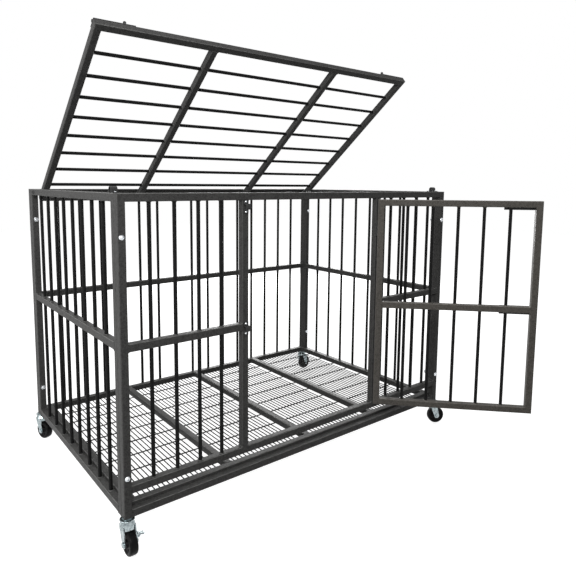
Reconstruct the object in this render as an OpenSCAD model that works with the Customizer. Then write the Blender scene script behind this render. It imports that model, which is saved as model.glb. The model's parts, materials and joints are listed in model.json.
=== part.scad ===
// Heavy duty dog crate on casters, with a hinged lid and a hinged front door.
// Millimetres, Z up, X along the length, front at -Y, floor at Z = 0.
// The parts are drawn as they stand with the lid raised and the door swung out.

/* [Overall size] */
// Outer length of the front and back panels
crate_length = 1220; // [1000:10:1400]
// Outer width across the front and back panels
crate_width = 780; // [640:10:900]
// Height of the panels without the casters
panel_height = 782; // [640:2:900]

/* [Tubes and bars] */
// Side of the square tube
tube = 20; // [18:1:25]
// Wall of the square tube
tube_wall = 1.5; // [1:0.1:2.5]
// Outside corner radius of the square tube
tube_radius = 2.5; // [2:0.1:4]
// Diameter of the round bars
bar_d = 10; // [8:0.5:13]
// Wall of the round bars
bar_wall = 1.2; // [0.8:0.1:2]

/* [Panels] */
// Clear width of the doorway between its posts
doorway_width = 500; // [400:5:600]
// Underside of the mid rails above the panel foot
mid_rail_foot = 410; // [330:5:460]
// Underside of the front sill above the panel foot
sill_foot = 60; // [45:1:90]
// Bars in each fixed section of the front
section_bars = 4; // [2:1:6]
// Bars in the back panel
back_panel_bars = 15; // [10:1:18]
// Bars in each end panel
end_panel_bars = 8; // [5:1:10]
// Height of the corner bolts above the panel foot and below the panel top
bolt_inset = 101; // [60:1:150]

/* [Floor] */
// Underside of the floor frame above the panel foot
floor_foot = 8; // [8:1:20]
// Cross members of the floor frame
floor_cross = 3; // [1:1:5]
// Wires running front to back in each bay
bay_wires = 18; // [10:1:22]
// Diameter of those wires
bay_wire_d = 3.2; // [2.5:0.1:3.6]
// Wires running along the length
long_wires = 8; // [4:1:9]
// Diameter of the wires running along the length
long_wire_d = 3.8; // [3:0.1:4.2]

/* [Lid] */
// Angle of the raised lid above its closed place
lid_angle = 38.2; // [0:0.1:110]
// Gap between the lid and each end panel
lid_side_gap = 5.5; // [3:0.5:10]
// Free edge of the closed lid behind the front face
lid_free_edge = 32; // [27:1:60]
// Pivot bolts of the lid in front of the back face
lid_pivot_back = 60; // [52:1:75]
// Gap between the closed lid and the back panel
lid_back_gap = 2; // [1.5:0.5:8]
// Cross members of the lid on each side of the middle
lid_cross_x = 236; // [150:2:300]
// Bars in the lid
lid_bar_count = 8; // [4:1:9]
// Clear gap between the last bar and the back rail of the lid
lid_last_gap = 55; // [40:1:75]

/* [Door] */
// Angle of the open door from its closed place
door_angle = 134; // [0:1:160]
// Gap between the door and its posts
door_gap = 2; // [1.5:0.1:4]
// Gap between the door and the sill
door_foot_gap = 6; // [2:0.5:10]
// Gap between the door and the top rail
door_top_gap = 3; // [2:0.5:10]
// Bars in the door
door_bar_count = 5; // [3:1:7]
// Foot of the lower hinge above the foot of the door
door_hinge_low = 133; // [60:1:200]
// Top of the upper hinge below the top of the door
door_hinge_high = 72; // [60:1:200]

/* [Hinges] */
// Outer radius of the hinge knuckles
knuckle_r = 5; // [4.5:0.1:6]
// Length of one knuckle
knuckle_len = 15; // [10:1:20]
// Radius of the hinge pins
hinge_pin_r = 2.5; // [2:0.1:3]
// Thickness of the hinge leaves
leaf_t = 2; // [1.5:0.1:2.5]
// Width of the hinge leaves
leaf_w = 12; // [8:0.5:14]

/* [Latches] */
// Length of the latch plate
latch_len = 110; // [90:1:120]
// Width of the latch plate
latch_width = 28; // [26:1:32]
// Thickness of the latch plate and keeper
latch_t = 2; // [1.5:0.1:2.5]
// Radius of the sliding bolt
rod_r = 4.5; // [3.5:0.1:5]
// Height of the knob above the sliding bolt
knob_h = 17; // [12:1:24]

/* [Casters] */
// Height of the panel foot above the floor
caster_height = 88; // [84:1:100]
// Wheel diameter
wheel_d = 60; // [54:1:62]
// Wheel width
wheel_w = 22; // [18:1:24]
// Distance of the axle from the swivel axis
trail = 14; // [10:1:30]
// Reach of the brake pedal
pedal_reach = 17; // [12:1:22]

/* [Hidden] */
$fn = 48;
// radial clearance of a running fit, of a loose hole, and between moving faces
fit = 0.05;
loose = 0.2;
run_gap = 0.4;
// crate
half_l = crate_length/2;
half_w = crate_width/2;
base_z = caster_height;
top_z = base_z + panel_height;
end_w = crate_width - 2*tube;
tube_inner_r = max(tube_radius - tube_wall, 0.3);
sill_top = sill_foot + tube;
mid_top = mid_rail_foot + tube;
rail_foot = panel_height - tube;
// door posts, measured from the left end of the front panel
latch_post_x = (crate_length - doorway_width)/2 - tube;
hinge_post_x = crate_length - latch_post_x - tube;
// bolts through the corner posts
bolt_heights = [bolt_inset, panel_height - bolt_inset];
bolt_r = 4;
bolt_end = 3;
head_r = 7;
head_h = 4.5;
nut_r = 7.5;
nut_h = 6;
// floor, inside the base rails
floor_x = half_l - tube;
floor_y = half_w - tube;
floor_z = base_z + floor_foot;
floor_bay = (2*floor_x - (floor_cross + 2)*tube)/(floor_cross + 1);
wire_end = 2;
long_wire_step = 2*floor_y/(long_wires + 1);
long_wire_shift = 18;
// hinges
hinge_off = knuckle_r + 0.6;
hinge_len = 3*knuckle_len + 2*run_gap;
leaf_x = knuckle_r + 0.8;
pin_head_r = knuckle_r - 1;
pin_head_h = 2;
// lid, in its closed place, on bolts through the end rails and its own side rails
lid_axis_y = half_w - lid_pivot_back;
lid_axis_z = top_z - tube/2;
lid_x0 = -half_l + tube + lid_side_gap;
lid_w = -2*lid_x0;
lid_y0 = -half_w + lid_free_edge;
lid_depth = half_w - tube - lid_back_gap - lid_y0;
pivot_nut_at = 2*tube + lid_side_gap + run_gap;
spacer_r = 7.5;
// door, in its closed place
door_axis_x = -half_l + hinge_post_x - door_gap/2;
door_axis_y = -half_w - hinge_off;
door_w = hinge_post_x - latch_post_x - tube - 2*door_gap;
door_x0 = -half_l + latch_post_x + tube + door_gap;
door_z0 = base_z + sill_top + door_foot_gap;
door_h = rail_foot - sill_top - door_foot_gap - door_top_gap;
door_mid = base_z + mid_rail_foot - door_z0;
door_hinges_z = [door_z0 + door_hinge_low, door_z0 + door_h - door_hinge_high - hinge_len];
// latches: the bolt lies nearer the inner edge of its rail, the screws nearer the outer edge
bolt_edge = 6;
lid_latch_y = lid_y0 + tube - bolt_edge;
door_latch_z = [door_z0 + door_h - tube + bolt_edge, door_z0 + door_mid + bolt_edge];
rod_lift = 1;
rod_z = latch_t + rod_r + rod_lift;
rod_back = 14;
rod_short = 1;
guide_wall = 3;
guide_r = rod_r + guide_wall;
guide_len = 12;
guide_in = 2;
guide_end = 10;
guide_out = latch_len - guide_end - guide_len;
knob_r = 3.5;
knob_ball_r = 4.5;
knob_gap = 2.5;
knob_x = guide_in + guide_len + knob_gap + knob_r;
keeper_len = 16;
keeper_width = 36;
keeper_play = 1.5;
keeper_in = rod_r + keeper_play;
keeper_out = keeper_in + latch_t;
screw_r = 2;
screw_head_r = 3.3;
screw_head_h = 1.8;
screw_from_knob = 16;
screw_from_guide = 12;
latch_screw_x = [knob_x + screw_from_knob, guide_out - screw_from_guide];
latch_screw_y = 9.5;
keeper_screw_y = (keeper_width/2 + keeper_out)/2;
// casters in the order front left, front right, back left, back right, with the way each wheel trails
caster_turn = [-90, -30, -70, 8];
caster_x = half_l - tube/2;
caster_y = half_w - tube/2;
caster_at = [[-caster_x, -caster_y], [caster_x, -caster_y], [-caster_x, caster_y], [caster_x, caster_y]];
plug = tube - 2*tube_wall - loose;
plug_h = 24;
flange_t = 2;
axle_z = wheel_d/2;
axle_r = 4;
axle_head_r = 6.5;
axle_head_h = 3;
spindle_r = 5;
spindle_head_r = 8;
spindle_head_h = 3;
race_r = 17;
race_h = 4;
crown_r = 19;
crown_t = 3;
crown_roof = 4;
crown_neck = 14;
crown_cup = 12;
crown_slope = 10;
crown_top = base_z - flange_t - race_h;
crown_shoulder = crown_top - crown_slope;
wheel_gap = 2.5;
crown_foot = wheel_d + wheel_gap;
hub_r = 9;
hub_out = 2.5;
hub_half = wheel_w/2 + hub_out;
web_in = 3;
web_half = wheel_w/2 - web_in;
tread_t = 8;
tread_r = 3.5;
hub_play = 0.5;
plate_t = 2.5;
plate_in = hub_half + hub_play;
plate_out = plate_in + plate_t;
plate_back = 12;
plate_front = 14;
eye_r = 9;
eye_x = 8;
eye_z = 4;
// brake pedal, on the outside of the fork above the axle head, pressed down
pedal_pin_r = 2;
pedal_barrel_r = 4.2;
pedal_t = 3.5;
pedal_w = 13;
pedal_dip = 20;
pedal_mid = 0.72*trail;
pedal_x = [pedal_mid - pedal_w/2, pedal_mid + pedal_w/2];
pedal_y = plate_out + pedal_barrel_r + run_gap;
pedal_lift = 1.3;
pedal_z = axle_z + axle_head_r + pedal_barrel_r + pedal_lift;
lug_t = 2.5;
// colours of the coated tubes, the darker bars and fittings, and the plated metal
steel = [0.23, 0.23, 0.23];
dark = [0.10, 0.10, 0.10];
zinc = [0.75, 0.76, 0.78];

// Rectangle with rounded corners, centred
module rounded_rect(w, h, r) {
    square([w, h - 2*r], center = true);
    square([w - 2*r, h], center = true);
    for (sx = [-1, 1], sy = [-1, 1])
        translate([sx*(w/2 - r), sy*(h/2 - r)])
            circle(r);
}

// Low round head standing on Z = 0
module dome(r, h) {
    ball = (r*r + h*h)/(2*h);
    rotate_extrude()
        intersection() {
            translate([0, h - ball])
                circle(ball);
            square([r, h]);
        }
}

module tube_profile() {
    difference() {
        rounded_rect(tube, tube, tube_radius);
        rounded_rect(tube - 2*tube_wall, tube - 2*tube_wall, tube_inner_r);
    }
}

// Square tube along X from 0, its axis on the X axis
module tube_x(len) {
    rotate([90, 0, 90])
        linear_extrude(len)
            tube_profile();
}

// Tube along X whose ends may be mitred, the long side up
module mitred_x(len, start = true, finish = true) {
    cut = 3*tube;
    difference() {
        tube_x(len);
        if (start)
            translate([0, 0, tube/2])
                rotate([0, 135, 0])
                    translate([0, -cut/2, -cut/2])
                        cube(cut);
        if (finish)
            translate([len, 0, tube/2])
                rotate([0, 45, 0])
                    translate([0, -cut/2, -cut/2])
                        cube(cut);
    }
}

// Upright tube, its outer side at -X, mitred at the top and, if asked, at the foot
module upright(len, foot = false) {
    translate([tube/2, tube/2, 0])
        rotate([0, -90, 0])
            mitred_x(len, foot, true);
}

// Tube lying along X inside a panel, from x0 to x1, its underside at z
module rail(x0, x1, z) {
    translate([x0, tube/2, z + tube/2])
        tube_x(x1 - x0);
}

// Panel frame: mitred posts and top rail, base rail between the posts
module panel_frame(w) {
    drilled_post(w, 0);
    drilled_post(w, 1);
    translate([0, tube/2, panel_height - tube/2])
        mitred_x(w);
    rail(tube, w - tube, 0);
}

module panel_post(w, side) {
    if (side == 0)
        upright(panel_height);
    else
        translate([w, 0, 0])
            mirror([1, 0, 0])
                upright(panel_height);
}

// Post with holes front to back for the corner bolts
module drilled_post(w, side) {
    difference() {
        panel_post(w, side);
        for (h = bolt_heights)
            translate([side == 0 ? tube/2 : w - tube/2, -tube/2, h])
                rotate([-90, 0, 0])
                    cylinder(h = 2*tube, r = bolt_r + loose);
    }
}

// Closed rectangular frame with four mitred corners
module closed_frame(w, h) {
    upright(h, true);
    translate([w, 0, 0])
        mirror([1, 0, 0])
            upright(h, true);
    translate([0, tube/2, h - tube/2])
        mitred_x(w);
    translate([0, tube/2, tube/2])
        mirror([0, 0, 1])
            mitred_x(w);
}

module bar(len) {
    linear_extrude(len)
        difference() {
            circle(bar_d/2);
            circle(bar_d/2 - bar_wall);
        }
}

// Round bars with equal clear gaps between x0 and x1, from z0 to z1
module bars(x0, x1, z0, z1, n) {
    clear = (x1 - x0 - n*bar_d)/(n + 1);
    for (i = [0:n - 1])
        translate([x0 + clear*(i + 1) + bar_d*(i + 0.5), tube/2, z0])
            bar(z1 - z0);
}

// Bars above and below the mid rail
module bars_twice(x0, x1, foot, n) {
    bars(x0, x1, foot, mid_rail_foot, n);
    bars(x0, x1, mid_top, rail_foot, n);
}

module at_front() {
    translate([-half_l, -half_w, base_z])
        children();
}

module at_back() {
    translate([-half_l, half_w - tube, base_z])
        children();
}

module at_left_end() {
    translate([-half_l + tube, -half_w + tube, base_z])
        rotate([0, 0, 90])
            children();
}

module at_right_end() {
    translate([half_l, -half_w + tube, base_z])
        rotate([0, 0, 90])
            children();
}

// Front panel
module front_frame() {
    color(steel) at_front() panel_frame(crate_length);
}

module front_sill() {
    color(steel) at_front() rail(tube, crate_length - tube, sill_foot);
}

module door_posts() {
    color(steel) at_front()
        for (x = [latch_post_x, hinge_post_x])
            translate([x + tube/2, tube/2, sill_top])
                linear_extrude(rail_foot - sill_top)
                    tube_profile();
}

module front_mid_rails() {
    color(steel) at_front() {
        rail(tube, latch_post_x, mid_rail_foot);
        rail(hinge_post_x + tube, crate_length - tube, mid_rail_foot);
    }
}

module front_left_bars() {
    color(dark) at_front() bars_twice(tube, latch_post_x, sill_top, section_bars);
}

module front_right_bars() {
    color(dark) at_front() bars_twice(hinge_post_x + tube, crate_length - tube, sill_top, section_bars);
}

// Back panel
module back_frame() {
    color(steel) at_back() {
        panel_frame(crate_length);
        rail(tube, crate_length - tube, mid_rail_foot);
    }
}

module back_bars() {
    color(dark) at_back() bars_twice(tube, crate_length - tube, tube, back_panel_bars);
}

// End panels stand between the front and back panels; the bolts cross their stiles
module end_stile(side) {
    difference() {
        panel_post(end_w, side);
        for (h = bolt_heights)
            translate([side == 0 ? -tube/2 : end_w - 1.5*tube, tube/2, h])
                rotate([0, 90, 0])
                    cylinder(h = 2*tube, r = bolt_r + loose);
    }
}

// The tubes are joined first and the lid's pivot hole is drilled after
module end_frame() {
    difference() {
        union() {
            end_stile(0);
            end_stile(1);
            translate([0, tube/2, panel_height - tube/2])
                mitred_x(end_w);
            rail(tube, end_w - tube, 0);
            rail(tube, end_w - tube, mid_rail_foot);
        }
        translate([end_w + tube - lid_pivot_back, -tube/2, panel_height - tube/2])
            rotate([-90, 0, 0])
                cylinder(h = 2*tube, r = bolt_r + loose);
    }
}

module left_end_frame() {
    color(steel) at_left_end() end_frame();
}

module right_end_frame() {
    color(steel) at_right_end() end_frame();
}

module left_end_bars() {
    color(dark) at_left_end() bars_twice(tube, end_w - tube, tube, end_panel_bars);
}

module right_end_bars() {
    color(dark) at_right_end() bars_twice(tube, end_w - tube, tube, end_panel_bars);
}

// Floor: a tube frame between the base rails with the wire mesh under it
module floor_frame() {
    color(steel) {
        for (y = [-floor_y, floor_y - tube])
            translate([-floor_x, y, floor_z])
                rail(0, 2*floor_x, 0);
        for (i = [0:floor_cross + 1])
            translate([-floor_x + i*(floor_bay + tube) + tube, -floor_y + tube, floor_z])
                rotate([0, 0, 90])
                    rail(0, 2*floor_y - 2*tube, 0);
    }
}

module floor_bay_wires() {
    step = floor_bay/(bay_wires + 1);
    color(dark)
        for (i = [0:floor_cross], j = [1:bay_wires])
            translate([-floor_x + tube + i*(floor_bay + tube) + j*step, -floor_y + wire_end, floor_z - bay_wire_d/2])
                rotate([-90, 0, 0])
                    cylinder(h = 2*(floor_y - wire_end), d = bay_wire_d);
}

module floor_long_wires() {
    color(dark)
        for (i = [1:long_wires])
            translate([-floor_x + wire_end, -floor_y + i*long_wire_step + long_wire_shift,
                       floor_z - bay_wire_d - long_wire_d/2])
                rotate([0, 90, 0])
                    cylinder(h = 2*(floor_x - wire_end), d = long_wire_d);
}

// Corner bolts: round heads on the front and back faces, nuts on the inner faces of the end stiles
module each_bolt() {
    for (sx = [-1, 1], h = bolt_heights) {
        translate([sx*caster_x, -half_w, base_z + h])
            rotate([-90, 0, 0])
                children();
        translate([sx*caster_x, half_w, base_z + h])
            rotate([90, 0, 0])
                children();
    }
}

// Round head at Z = 0, with the shank and the nut towards +Z
module bolt(nut_at) {
    cylinder(h = nut_at + nut_h + bolt_end, r = bolt_r);
    mirror([0, 0, 1])
        dome(head_r, head_h);
}

module nut(nut_at) {
    translate([0, 0, nut_at])
        linear_extrude(nut_h)
            difference() {
                circle(nut_r, $fn = 6);
                circle(bolt_r + fit);
            }
}

module corner_bolts() {
    color(zinc) each_bolt() bolt(2*tube);
}

module corner_nuts() {
    color(zinc) each_bolt() nut(2*tube);
}

// Pivot bolts of the lid: heads on the outer faces of the end rails, nuts inside the lid
module each_pivot() {
    for (side = [0, 1])
        mirror([side, 0, 0])
            translate([-half_l, lid_axis_y, lid_axis_z])
                rotate([0, 90, 0])
                    children();
}

module lid_pivot_bolts() {
    color(zinc) each_pivot() bolt(pivot_nut_at);
}

module lid_pivot_nuts() {
    color(zinc) each_pivot() nut(pivot_nut_at);
}

module lid_pivot_spacers() {
    color(zinc) each_pivot()
        translate([0, 0, tube])
            linear_extrude(lid_side_gap - run_gap)
                difference() {
                    circle(spacer_r);
                    circle(bolt_r + fit);
                }
}

// Hinge half along Z, its axis at the origin; the leaf lies on a face at +Y and points to +X
module hinge_half(outer) {
    low = [0, knuckle_len];
    middle = [knuckle_len + run_gap, 2*knuckle_len + run_gap];
    high = [hinge_len - knuckle_len, hinge_len];
    difference() {
        union() {
            translate([leaf_x, hinge_off - leaf_t, 0])
                cube([leaf_w, leaf_t, hinge_len]);
            for (span = outer ? [low, high] : [middle])
                translate([0, 0, span[0]])
                    linear_extrude(span[1] - span[0]) {
                        circle(knuckle_r);
                        translate([0, hinge_off - leaf_t])
                            square([leaf_x + 1, leaf_t]);
                    }
        }
        translate([0, 0, -1])
            cylinder(h = hinge_len + 2, r = hinge_pin_r + fit);
    }
}

module hinge_pin() {
    cylinder(h = hinge_len, r = hinge_pin_r);
    translate([0, 0, hinge_len])
        dome(pin_head_r, pin_head_h);
}

module at_door_hinges() {
    for (z = door_hinges_z)
        translate([door_axis_x, door_axis_y, z])
            children();
}

module door_hinge_fixed_leaves() {
    color(zinc) at_door_hinges() hinge_half(true);
}

module door_hinge_pins() {
    color(zinc) at_door_hinges() hinge_pin();
}

// Arch over a sliding bolt, along X from 0, on a face at Z = 0
module arch(len, r) {
    rotate([90, 0, 90])
        linear_extrude(len) {
            translate([-r, 0])
                square([2*r, rod_z]);
            translate([0, rod_z])
                circle(r);
        }
}

// Round length along the bolt axis, for the bolt and for its bores
module along_bolt(x0, x1, r) {
    translate([x0, 0, rod_z])
        rotate([0, 90, 0])
            cylinder(h = x1 - x0, r = r);
}

// Hole for a screw through a plate on Z = 0
module screw_hole() {
    translate([0, 0, -1])
        cylinder(h = latch_t + 2, r = screw_r + loose);
}

module screw() {
    cylinder(h = latch_t, r = screw_r);
    translate([0, 0, latch_t])
        dome(screw_head_r, screw_head_h);
}

module at_latch_screws() {
    for (x = latch_screw_x)
        translate([x, -latch_screw_y, 0])
            children();
}

module at_keeper_screws() {
    for (s = [-1, 1])
        translate([0, s*keeper_screw_y, 0])
            children();
}

// Latch plate with two tunnels, from its inner end at X = 0 to the free edge
module latch_plate() {
    difference() {
        union() {
            translate([0, -latch_width/2, 0])
                cube([latch_len, latch_width, latch_t]);
            for (x = [guide_in, guide_out])
                translate([x, 0, 0])
                    arch(guide_len, guide_r);
        }
        along_bolt(-1, latch_len + 1, rod_r + fit);
        at_latch_screws() screw_hole();
    }
}

// Sliding bolt with its knob, drawn back
module latch_rod() {
    along_bolt(-rod_back, latch_len - rod_short, rod_r);
    translate([knob_x, 0, rod_z])
        cylinder(h = knob_h, r = knob_r);
    translate([knob_x, 0, rod_z + knob_h])
        sphere(knob_ball_r);
}

// Hat strap that takes the end of a sliding bolt
module keeper() {
    difference() {
        translate([-keeper_len/2, 0, 0]) {
            translate([0, -keeper_width/2, 0])
                cube([keeper_len, keeper_width, latch_t]);
            arch(keeper_len, keeper_out);
        }
        translate([-keeper_len, 0, -rod_z])
            arch(2*keeper_len, keeper_in);
        translate([-keeper_len, 0, 0])
            arch(2*keeper_len, keeper_in);
        at_keeper_screws() screw_hole();
    }
}

// Keepers stand on the latch post and on the end rails
module at_door_keepers() {
    for (z = door_latch_z)
        translate([-half_l + latch_post_x + tube/2, -half_w, z])
            rotate([90, 180, 0])
                children();
}

module at_lid_keepers() {
    for (sx = [-1, 1])
        translate([sx*caster_x, lid_latch_y, top_z])
            children();
}

module door_keepers() {
    color(dark) at_door_keepers() keeper();
}

module lid_keepers() {
    color(dark) at_lid_keepers() keeper();
}

module keeper_screws() {
    color(zinc) {
        at_door_keepers() at_keeper_screws() screw();
        at_lid_keepers() at_keeper_screws() screw();
    }
}

// Lid, turned about its pivot bolts
module lid_pose() {
    translate([0, lid_axis_y, lid_axis_z])
        rotate([-lid_angle, 0, 0])
            translate([0, -lid_axis_y, -lid_axis_z])
                children();
}

module lid_frame() {
    color(steel) lid_pose()
        difference() {
            translate([lid_x0, lid_y0 + lid_depth, top_z - tube])
                rotate([90, 0, 0])
                    closed_frame(lid_w, lid_depth);
            translate([-half_l, lid_axis_y, lid_axis_z])
                rotate([0, 90, 0])
                    cylinder(h = crate_length, r = bolt_r + fit);
        }
}

module lid_cross_members() {
    color(steel) lid_pose()
        for (x = [-lid_cross_x, lid_cross_x])
            translate([x + tube/2, lid_y0 + tube, top_z - tube])
                rotate([0, 0, 90])
                    rail(0, lid_depth - 2*tube, 0);
}

// Lid bars run along the length, in three lengths between the side rails and the cross members
module lid_bars() {
    side = -lid_x0 - tube;
    near = lid_cross_x - tube/2;
    far = lid_cross_x + tube/2;
    clear = (lid_depth - 2*tube - lid_last_gap)/lid_bar_count - bar_d;
    color(dark) lid_pose()
        for (i = [0:lid_bar_count - 1], span = [[-side, -far], [-near, near], [far, side]])
            translate([span[0], lid_y0 + tube + clear*(i + 1) + bar_d*(i + 0.5), top_z - tube/2])
                rotate([0, 90, 0])
                    bar(span[1] - span[0]);
}

// Latch place on the left of the lid, or mirrored to the right
module at_lid_latch(right) {
    lid_pose()
        mirror([right ? 1 : 0, 0, 0])
            translate([lid_x0 + latch_len, lid_latch_y, top_z])
                mirror([1, 0, 0])
                    children();
}

module lid_latch_plates() {
    color(dark)
        for (right = [false, true])
            at_lid_latch(right) latch_plate();
}

module lid_latch_screws() {
    color(zinc)
        for (right = [false, true])
            at_lid_latch(right) at_latch_screws() screw();
}

module lid_bolt_left() {
    color(dark) at_lid_latch(false) latch_rod();
}

module lid_bolt_right() {
    color(dark) at_lid_latch(true) latch_rod();
}

// Door, turned about its hinge line
module door_pose() {
    translate([door_axis_x, door_axis_y, 0])
        rotate([0, 0, door_angle])
            translate([-door_axis_x, -door_axis_y, 0])
                children();
}

module at_door() {
    door_pose()
        translate([door_x0, -half_w, door_z0])
            children();
}

module door_frame() {
    color(steel) at_door() closed_frame(door_w, door_h);
}

module door_mid_rail() {
    color(steel) at_door() rail(tube, door_w - tube, door_mid);
}

module door_bars() {
    color(dark) at_door() {
        bars(tube, door_w - tube, tube, door_mid, door_bar_count);
        bars(tube, door_w - tube, door_mid + tube, door_h - tube, door_bar_count);
    }
}

module door_hinge_leaves() {
    color(zinc) door_pose() at_door_hinges() mirror([1, 0, 0]) hinge_half(false);
}

module at_door_latch(z) {
    door_pose()
        translate([door_x0 + latch_len, -half_w, z])
            rotate([90, 180, 0])
                children();
}

module door_latch_plates() {
    color(dark)
        for (z = door_latch_z)
            at_door_latch(z) latch_plate();
}

module door_latch_screws() {
    color(zinc)
        for (z = door_latch_z)
            at_door_latch(z) at_latch_screws() screw();
}

module door_bolt_top() {
    color(dark) at_door_latch(door_latch_z[0]) latch_rod();
}

module door_bolt_mid() {
    color(dark) at_door_latch(door_latch_z[1]) latch_rod();
}

// Caster stems: a plug in the foot of each corner post, a flange, a race and a spindle with its head
module caster_stem() {
    translate([0, 0, base_z])
        linear_extrude(plug_h)
            rounded_rect(plug, plug, tube_inner_r);
    translate([0, 0, base_z - flange_t])
        linear_extrude(flange_t)
            rounded_rect(tube, tube, tube_radius);
    translate([0, 0, crown_top + run_gap])
        cylinder(h = race_h - run_gap, r = race_r);
    translate([0, 0, crown_top - crown_roof - run_gap - spindle_head_h]) {
        cylinder(h = spindle_head_h + crown_roof + 2*run_gap + 1, r = spindle_r);
        cylinder(h = spindle_head_h, r = spindle_head_r);
    }
}

module caster_stems() {
    color(zinc)
        for (place = caster_at)
            translate([place[0], place[1], 0])
                caster_stem();
}

// Caster, with the swivel axis at the origin and the wheel trailing towards +X
module at_caster(i) {
    translate([caster_at[i][0], caster_at[i][1], 0])
        rotate([0, 0, caster_turn[i]])
            children();
}

// Side plate of the fork, from the crown down to the axle
module fork_side() {
    rotate([90, 0, 0])
        linear_extrude(plate_out - plate_in) {
            polygon([[-plate_back, crown_shoulder], [plate_front, crown_shoulder],
                     [trail + eye_x, axle_z + eye_z], [trail - eye_x, axle_z - eye_z]]);
            translate([trail, axle_z])
                circle(eye_r);
        }
}

// Pressed crown: a cup over the spindle head with a sloping shoulder
module fork_crown() {
    bore = spindle_r + fit;
    roof = crown_top - crown_roof;
    rotate_extrude()
        polygon([[bore, roof], [crown_cup, roof], [crown_r - crown_t, crown_shoulder], [crown_r - crown_t, crown_foot],
                 [crown_r, crown_foot], [crown_r, crown_shoulder], [crown_neck, crown_top], [bore, crown_top]]);
}

// Ears on the outside of the fork that hold the pedal pin
module pedal_lugs() {
    root = plate_out - 0.5;
    for (x = [pedal_x[0] - lug_t, pedal_x[1]])
        translate([x, 0, pedal_z])
            rotate([90, 0, 90])
                linear_extrude(lug_t) {
                    translate([root, -pedal_barrel_r])
                        square([pedal_y - root, 2*pedal_barrel_r]);
                    translate([pedal_y, 0])
                        circle(pedal_barrel_r);
                }
}

module fork() {
    color(zinc)
        difference() {
            union() {
                fork_crown();
                translate([0, plate_out, 0])
                    fork_side();
                translate([0, -plate_in, 0])
                    fork_side();
                pedal_lugs();
            }
            translate([trail, -2*plate_out, axle_z])
                rotate([-90, 0, 0])
                    cylinder(h = 4*plate_out, r = axle_r + fit);
            translate([pedal_x[0] - 2*lug_t, pedal_y, pedal_z])
                rotate([0, 90, 0])
                    cylinder(h = pedal_x[1] - pedal_x[0] + 4*lug_t, r = pedal_pin_r + fit);
        }
}

// Axle bolt with a head at each end, and the pin of the pedal
module axle() {
    color(zinc) {
        translate([trail, 0, axle_z])
            rotate([-90, 0, 0]) {
                translate([0, 0, -plate_out])
                    cylinder(h = 2*plate_out, r = axle_r);
                for (z = [-plate_out - axle_head_h, plate_out])
                    translate([0, 0, z])
                        cylinder(h = axle_head_h, r = axle_head_r);
            }
        translate([pedal_x[0] - lug_t - 1, pedal_y, pedal_z])
            rotate([0, 90, 0])
                cylinder(h = pedal_x[1] - pedal_x[0] + 2*lug_t + 2, r = pedal_pin_r);
    }
}

module wheel() {
    bore = axle_r + fit;
    rim = wheel_d/2 - tread_t;
    color(dark)
        translate([trail, 0, axle_z])
            rotate([-90, 0, 0])
                rotate_extrude() {
                    translate([bore, -hub_half])
                        square([hub_r - bore, 2*hub_half]);
                    translate([bore, -web_half])
                        square([rim + 1 - bore, 2*web_half]);
                    translate([rim + tread_t/2, 0])
                        rounded_rect(tread_t, wheel_w, tread_r);
                }
}

// Brake pedal: a barrel on its pin and a tread reaching outwards
module pedal() {
    x0 = pedal_x[0] + run_gap;
    len = pedal_x[1] - pedal_x[0] - 2*run_gap;
    color(zinc)
        translate([x0, pedal_y, pedal_z]) rotate([-pedal_dip, 0, 0])
            difference() {
                union() {
                    rotate([0, 90, 0])
                        cylinder(h = len, r = pedal_barrel_r);
                    translate([len/2, pedal_reach/2, pedal_barrel_r - pedal_t])
                        linear_extrude(pedal_t)
                            rounded_rect(len, pedal_reach, tread_r);
                }
                translate([-1, 0, 0])
                    rotate([0, 90, 0])
                        cylinder(h = len + 2, r = pedal_pin_r + fit);
            }
}

module fork_fl() { at_caster(0) fork(); }
module fork_fr() { at_caster(1) fork(); }
module fork_bl() { at_caster(2) fork(); }
module fork_br() { at_caster(3) fork(); }
module axle_fl() { at_caster(0) axle(); }
module axle_fr() { at_caster(1) axle(); }
module axle_bl() { at_caster(2) axle(); }
module axle_br() { at_caster(3) axle(); }
module wheel_fl() { at_caster(0) wheel(); }
module wheel_fr() { at_caster(1) wheel(); }
module wheel_bl() { at_caster(2) wheel(); }
module wheel_br() { at_caster(3) wheel(); }
module pedal_fl() { at_caster(0) pedal(); }
module pedal_fr() { at_caster(1) pedal(); }
module pedal_bl() { at_caster(2) pedal(); }
module pedal_br() { at_caster(3) pedal(); }

front_frame();
front_sill();
door_posts();
front_mid_rails();
front_left_bars();
front_right_bars();
back_frame();
back_bars();
left_end_frame();
left_end_bars();
right_end_frame();
right_end_bars();
floor_frame();
floor_bay_wires();
floor_long_wires();
corner_bolts();
corner_nuts();
lid_pivot_bolts();
lid_pivot_nuts();
lid_pivot_spacers();
door_hinge_fixed_leaves();
door_hinge_pins();
door_keepers();
lid_keepers();
keeper_screws();
caster_stems();
lid_frame();
lid_cross_members();
lid_bars();
lid_latch_plates();
lid_latch_screws();
lid_bolt_left();
lid_bolt_right();
door_frame();
door_mid_rail();
door_bars();
door_hinge_leaves();
door_latch_plates();
door_latch_screws();
door_bolt_top();
door_bolt_mid();
fork_fl();
fork_fr();
fork_bl();
fork_br();
axle_fl();
axle_fr();
axle_bl();
axle_br();
wheel_fl();
wheel_fr();
wheel_bl();
wheel_br();
pedal_fl();
pedal_fr();
pedal_bl();
pedal_br();
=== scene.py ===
"""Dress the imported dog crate: coated tube and bars, plated hardware, casters, studio and camera."""

import json
import logging
import math
from dataclasses import dataclass
from dataclasses import field
from enum import Enum

import bmesh
import bpy
import numpy as np
from mathutils import Matrix
from mathutils import Vector

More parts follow.
